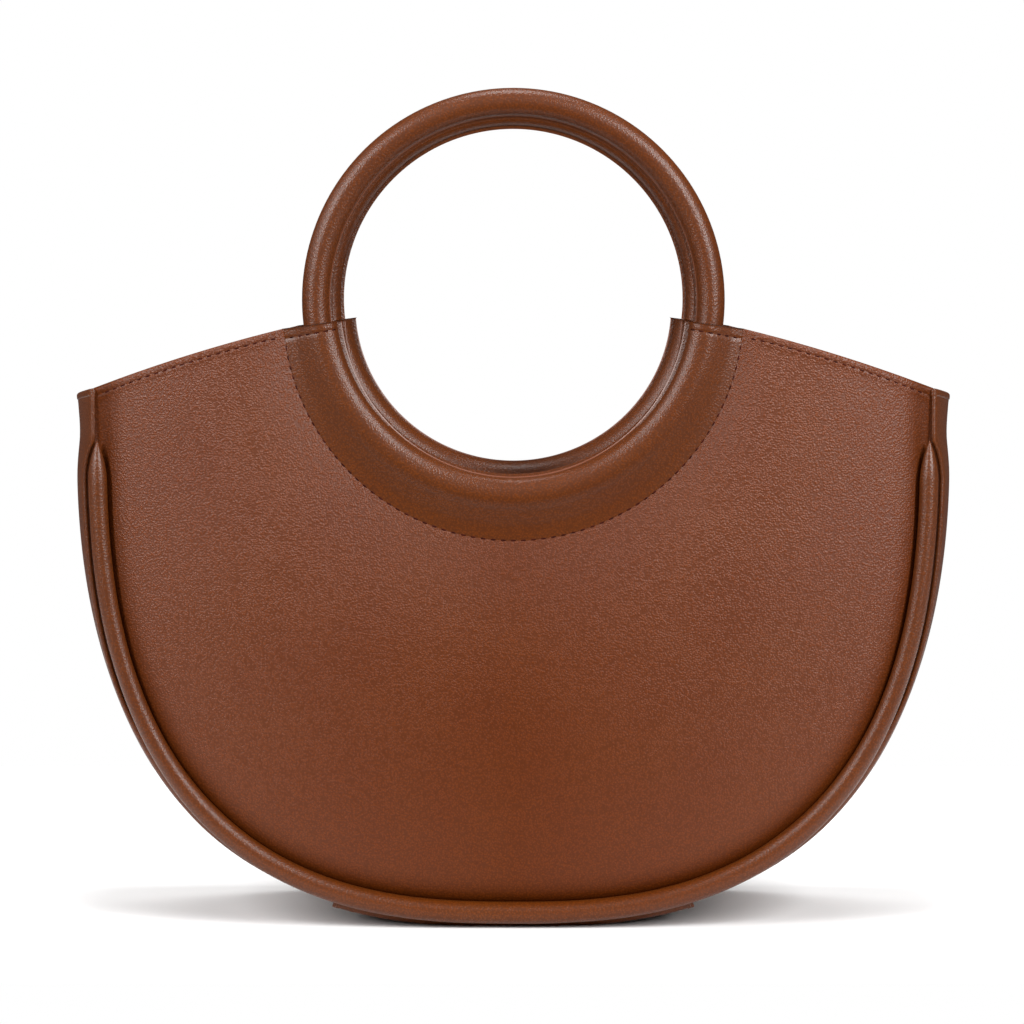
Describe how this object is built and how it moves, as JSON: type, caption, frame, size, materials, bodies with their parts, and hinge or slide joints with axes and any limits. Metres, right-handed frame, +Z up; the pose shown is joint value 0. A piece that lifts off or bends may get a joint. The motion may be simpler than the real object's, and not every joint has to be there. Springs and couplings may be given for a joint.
{
  "type": "handbag",
  "caption": "Half-moon leather handbag with round ring handles held in sewn collars, padded piping round its edge, a curved gusset and a wide open top.",
  "frame": {"origin": "on the floor under the middle of the bag, in the middle of its base", "axes": "+X along the bag's width, to the right seen from its front, +Y from its front to its back, +Z up"},
  "size_m": [0.3128, 0.1102, 0.2946],
  "materials": {
    "grained_leather": "satin",
    "smooth_leather": "satin"
  },
  "bodies": {
    "root": {"front_panel": "grained_leather", "back_panel": "grained_leather", "front_piping": "smooth_leather", "back_piping": "smooth_leather", "front_collar": "smooth_leather", "back_collar": "smooth_leather", "front_ring": "smooth_leather", "back_ring": "smooth_leather", "gusset_left": "smooth_leather", "base_gusset": "smooth_leather", "gusset_right": "smooth_leather"}
  },
  "joints": []
}
